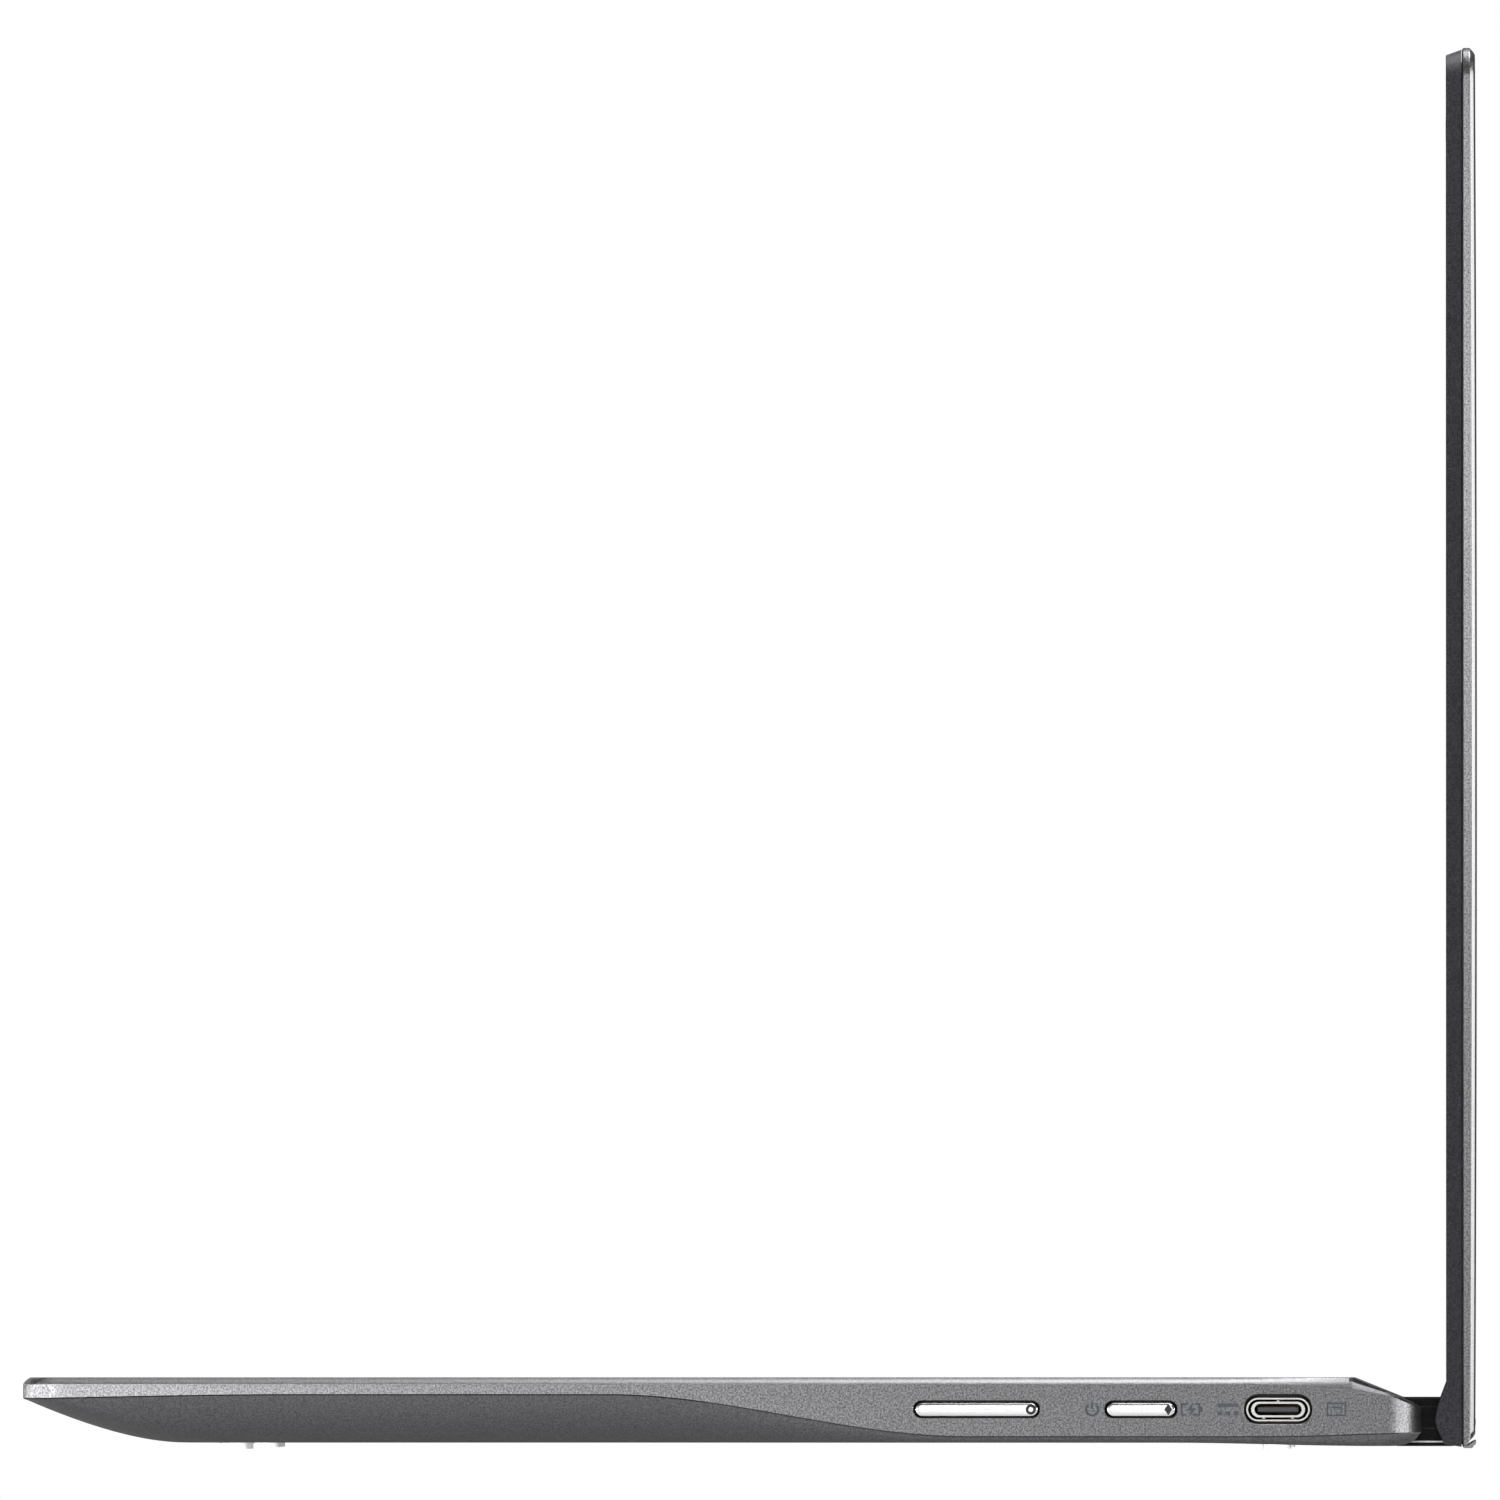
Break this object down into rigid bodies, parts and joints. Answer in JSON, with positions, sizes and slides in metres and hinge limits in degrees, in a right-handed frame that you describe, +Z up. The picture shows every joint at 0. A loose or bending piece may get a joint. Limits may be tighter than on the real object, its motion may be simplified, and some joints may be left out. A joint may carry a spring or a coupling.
{
  "type": "convertible laptop computer",
  "caption": "Thin convertible laptop with metal case, two-axis lid hinges, keyboard, touchpad, side buttons and ports; lid folds right round.",
  "frame": {"origin": "middle of the open laptop's footprint, on the table under the feet", "axes": "+X towards the user's right, +Y from the user towards the hinge, +Z up; the rest pose is the lid standing at 90 degrees"},
  "size_m": [0.3006, 0.2442, 0.2354],
  "materials": {
    "aluminium": "fine blasted aluminium, satin",
    "lid_metal": "fine blasted aluminium, satin, slightly paler than the base",
    "painted_cover": "matte dark grey coating on thin metal",
    "bezel_plastic": "matte dark grey with a fine texture",
    "key_plastic": "matte black",
    "polished_metal": "polished bright metal",
    "black_rubber": "matte black rubber",
    "hinge_black": "black coated hinge link",
    "steel": "plain steel",
    "screen_glass": "glossy dark glass over the display",
    "lcd": "dark display panel",
    "circuit_board": "green circuit board",
    "copper": "bare copper",
    "battery_film": "black film wrap",
    "dark_plastic": "dark moulded plastic"
  },
  "bodies": {
    "base": {"top_case": "aluminium", "bottom_cover": "painted_cover", "mainboard": "circuit_board", "wifi_card": "circuit_board", "side_switch_board": "circuit_board", "heat_pipe": "copper", "heat_spreader": "copper", "battery_pack": "battery_film", "fan_housing": "dark_plastic", "speaker_left": "dark_plastic", "speaker_right": "dark_plastic", "headphone_jack": "dark_plastic", "keyboard_plate": "steel", "usb_c_port_right": "steel", "usb_c_port_left": "steel", "usb_a_port": "steel", "hdmi_port": "steel", "hinge_base_arm_left": "steel", "foot_front_left": "black_rubber", "foot_rear_left": "black_rubber", "hinge_base_arm_right": "steel", "foot_front_right": "black_rubber", "foot_rear_right": "black_rubber", "case_screw_1": "steel", "case_screw_2": "steel", "case_screw_3": "steel", "case_screw_4": "steel", "case_screw_5": "steel", "case_screw_6": "steel"},
    "link_right": {"hinge_link_right": "hinge_black"},
    "link_left": {"hinge_link_left": "hinge_black"},
    "lid": {"lid_cover": "lid_metal", "display_bezel": "bezel_plastic", "cover_glass": "screen_glass", "screen_seal": "black_rubber", "lcd_panel": "lcd", "webcam_module": "circuit_board", "display_board": "circuit_board", "lid_rear_bumper": "black_rubber", "hinge_lid_arm_left": "steel", "hinge_lid_arm_right": "steel"},
    "left_modifier_keys": {"left_modifier_keys": "key_plastic"},
    "space_bar": {"space_bar": "key_plastic"},
    "right_modifier_keys": {"right_modifier_keys": "key_plastic"},
    "arrow_left_key": {"arrow_left_key": "key_plastic"},
    "arrow_down_key": {"arrow_down_key": "key_plastic"},
    "arrow_up_key": {"arrow_up_key": "key_plastic"},
    "arrow_right_key": {"arrow_right_key": "key_plastic"},
    "lower_letter_keys": {"lower_letter_keys": "key_plastic"},
    "home_letter_keys": {"home_letter_keys": "key_plastic"},
    "enter_key": {"enter_key": "key_plastic"},
    "upper_letter_keys": {"upper_letter_keys": "key_plastic"},
    "number_keys": {"number_keys": "key_plastic"},
    "backspace_key": {"backspace_key": "key_plastic"},
    "function_keys": {"function_keys": "key_plastic"},
    "touchpad": {"touchpad": "aluminium"},
    "volume_rocker": {"volume_rocker": "polished_metal"},
    "power_button": {"power_button": "polished_metal"},
    "fan_rotor": {"fan_rotor": "dark_plastic"}
  },
  "joints": [
    {"name": "link_right_turn", "type": "hinge", "parent": "base", "child": "link_right", "pos_m": [0.11, 0.10895, 0.0046], "axis": [-1, 0, 0], "range_deg": [-90, 90]},
    {"name": "link_left_turn", "type": "hinge", "parent": "base", "child": "link_left", "pos_m": [-0.11, 0.10895, 0.0046], "axis": [-1, 0, 0], "range_deg": [-90, 90]},
    {"name": "lid_turn", "type": "hinge", "parent": "link_right", "child": "lid", "pos_m": [0.11, 0.11785, 0.0046], "axis": [-1, 0, 0], "range_deg": [0, 180]},
    {"name": "fan_spin", "type": "hinge", "parent": "base", "child": "fan_rotor", "pos_m": [0.044, 0.068, 0.0047], "axis": [0, 0, 1], "continuous": true},
    {"name": "touchpad_click", "type": "hinge", "parent": "base", "child": "touchpad", "pos_m": [0, -0.02715, 0.0109], "axis": [1, 0, 0], "range_deg": [0, 0.22], "stiffness_Nm_per_rad": 20, "springref_deg": -57.3},
    {"name": "volume_rock", "type": "hinge", "parent": "base", "child": "volume_rocker", "pos_m": [0.1488, 0.03805, 0.00668], "axis": [0, 0, 1], "range_deg": [-1.5, 1.5], "stiffness_Nm_per_rad": 0.002},
    {"name": "power_press", "type": "slide", "parent": "base", "child": "power_button", "axis": [-1, 0, 0], "range_m": [0, 0.0004], "stiffness_N_per_m": 80, "springref_m": -0.001},
    {"name": "left_modifier_keys_press", "type": "slide", "parent": "base", "child": "left_modifier_keys", "axis": [0, 0, -1], "range_m": [0, 0.0012], "stiffness_N_per_m": 100, "springref_m": -0.0015},
    {"name": "space_bar_press", "type": "slide", "parent": "base", "child": "space_bar", "axis": [0, 0, -1], "range_m": [0, 0.0012], "stiffness_N_per_m": 100, "springref_m": -0.0015},
    {"name": "right_modifier_keys_press", "type": "slide", "parent": "base", "child": "right_modifier_keys", "axis": [0, 0, -1], "range_m": [0, 0.0012], "stiffness_N_per_m": 100, "springref_m": -0.0015},
    {"name": "arrow_left_key_press", "type": "slide", "parent": "base", "child": "arrow_left_key", "axis": [0, 0, -1], "range_m": [0, 0.0012], "stiffness_N_per_m": 100, "springref_m": -0.0015},
    {"name": "arrow_down_key_press", "type": "slide", "parent": "base", "child": "arrow_down_key", "axis": [0, 0, -1], "range_m": [0, 0.0012], "stiffness_N_per_m": 100, "springref_m": -0.0015},
    {"name": "arrow_up_key_press", "type": "slide", "parent": "base", "child": "arrow_up_key", "axis": [0, 0, -1], "range_m": [0, 0.0012], "stiffness_N_per_m": 100, "springref_m": -0.0015},
    {"name": "arrow_right_key_press", "type": "slide", "parent": "base", "child": "arrow_right_key", "axis": [0, 0, -1], "range_m": [0, 0.0012], "stiffness_N_per_m": 100, "springref_m": -0.0015},
    {"name": "lower_letter_keys_press", "type": "slide", "parent": "base", "child": "lower_letter_keys", "axis": [0, 0, -1], "range_m": [0, 0.0012], "stiffness_N_per_m": 100, "springref_m": -0.0015},
    {"name": "home_letter_keys_press", "type": "slide", "parent": "base", "child": "home_letter_keys", "axis": [0, 0, -1], "range_m": [0, 0.0012], "stiffness_N_per_m": 100, "springref_m": -0.0015},
    {"name": "enter_key_press", "type": "slide", "parent": "base", "child": "enter_key", "axis": [0, 0, -1], "range_m": [0, 0.0012], "stiffness_N_per_m": 100, "springref_m": -0.0015},
    {"name": "upper_letter_keys_press", "type": "slide", "parent": "base", "child": "upper_letter_keys", "axis": [0, 0, -1], "range_m": [0, 0.0012], "stiffness_N_per_m": 100, "springref_m": -0.0015},
    {"name": "number_keys_press", "type": "slide", "parent": "base", "child": "number_keys", "axis": [0, 0, -1], "range_m": [0, 0.0012], "stiffness_N_per_m": 100, "springref_m": -0.0015},
    {"name": "backspace_key_press", "type": "slide", "parent": "base", "child": "backspace_key", "axis": [0, 0, -1], "range_m": [0, 0.0012], "stiffness_N_per_m": 100, "springref_m": -0.0015},
    {"name": "function_keys_press", "type": "slide", "parent": "base", "child": "function_keys", "axis": [0, 0, -1], "range_m": [0, 0.0012], "stiffness_N_per_m": 100, "springref_m": -0.0015}
  ],
  "couplings": [
    {"joint": "link_left_turn", "follows": "link_right_turn", "ratio": 1}
  ]
}
